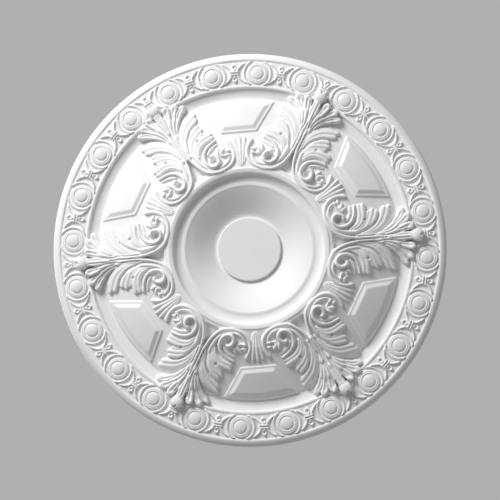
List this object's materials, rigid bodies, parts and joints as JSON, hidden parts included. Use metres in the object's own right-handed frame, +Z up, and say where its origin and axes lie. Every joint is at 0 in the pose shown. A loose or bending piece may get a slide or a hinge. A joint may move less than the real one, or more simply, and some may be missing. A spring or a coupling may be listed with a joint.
{
  "type": "ceiling rose",
  "caption": "Round moulded ceiling rose with a boss-and-dart rim, acanthus spokes with scroll volutes, raised tablets and a recessed bowl round a centre disc.",
  "frame": {"origin": "centre of the flat back, in the plane of the ceiling", "axes": "+Z up into the ceiling, so the ornament faces down along -Z; +X runs out along the first acanthus spoke"},
  "size_m": [0.64, 0.64, 0.058],
  "materials": {
    "white_casting": "matt white primer on a rigid foam casting"
  },
  "bodies": {
    "root": {"ceiling_rose": "white_casting"}
  },
  "joints": []
}
